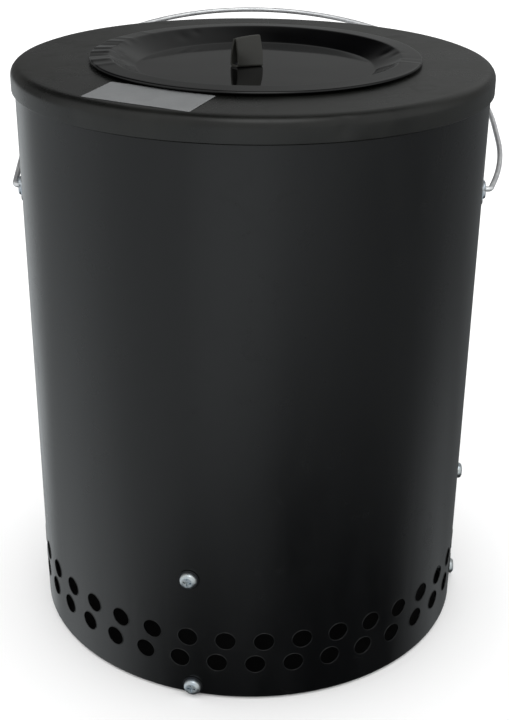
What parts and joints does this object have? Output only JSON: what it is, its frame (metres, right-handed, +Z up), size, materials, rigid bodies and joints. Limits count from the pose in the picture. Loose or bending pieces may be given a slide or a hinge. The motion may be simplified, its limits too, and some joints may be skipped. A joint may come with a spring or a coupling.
{
  "type": "rocket stove",
  "caption": "Upright drum-shaped rocket stove with air holes round its foot, an inner burning chamber and grate, a lift-off dished lid and a swinging wire carrying bail.",
  "frame": {"origin": "centre of the flat underside of the base plate", "axes": "+Z up along the drum's axis; -Y is the front; the bail turns about a line along X and leans back towards +Y"},
  "size_m": [0.3648, 0.4304, 0.4388],
  "materials": {
    "black_paint": "semi-gloss black heat paint",
    "gloss_black": "glossy black paint",
    "chamber_steel": "matt heat-darkened black",
    "zinc": "bright zinc plated",
    "galvanised_wire": "dull galvanised",
    "dark_washer": "matt black",
    "cast_grate": "rough as cast",
    "blank_label": "satin grey, blank"
  },
  "bodies": {
    "stove": {"outer_shell": "black_paint", "base_plate": "black_paint", "support_ring": "chamber_steel", "fire_chamber": "chamber_steel", "top_cap": "black_paint", "label_plate": "blank_label", "base_bolts": "zinc", "ring_bolts": "zinc", "base_washers": "dark_washer", "ring_washers": "dark_washer", "base_nuts": "zinc", "ring_nuts": "zinc", "right_ear": "zinc", "left_ear": "zinc", "ear_rivets": "zinc"},
    "bail": {"bail_wire": "galvanised_wire"},
    "lid": {"lid_pan": "gloss_black", "lid_strap": "black_paint", "lid_rivets": "zinc", "lid_washers": "zinc"},
    "grate": {"fire_grate": "cast_grate"},
    "pan": {"ash_pan": "chamber_steel"}
  },
  "joints": [
    {"name": "bail_swing", "type": "hinge", "parent": "stove", "child": "bail", "pos_m": [0, 0, 0.331], "axis": [1, 0, 0], "range_deg": [-69.5, 213.5]},
    {"name": "lid_lift", "type": "slide", "parent": "stove", "child": "lid", "axis": [0, 0, 1], "range_m": [0, 0.12]},
    {"name": "grate_lift", "type": "slide", "parent": "stove", "child": "grate", "axis": [0, 0, 1], "range_m": [0, 0.3]},
    {"name": "ash_pan_lift", "type": "slide", "parent": "stove", "child": "pan", "axis": [0, 0, 1], "range_m": [0, 0.05]}
  ]
}
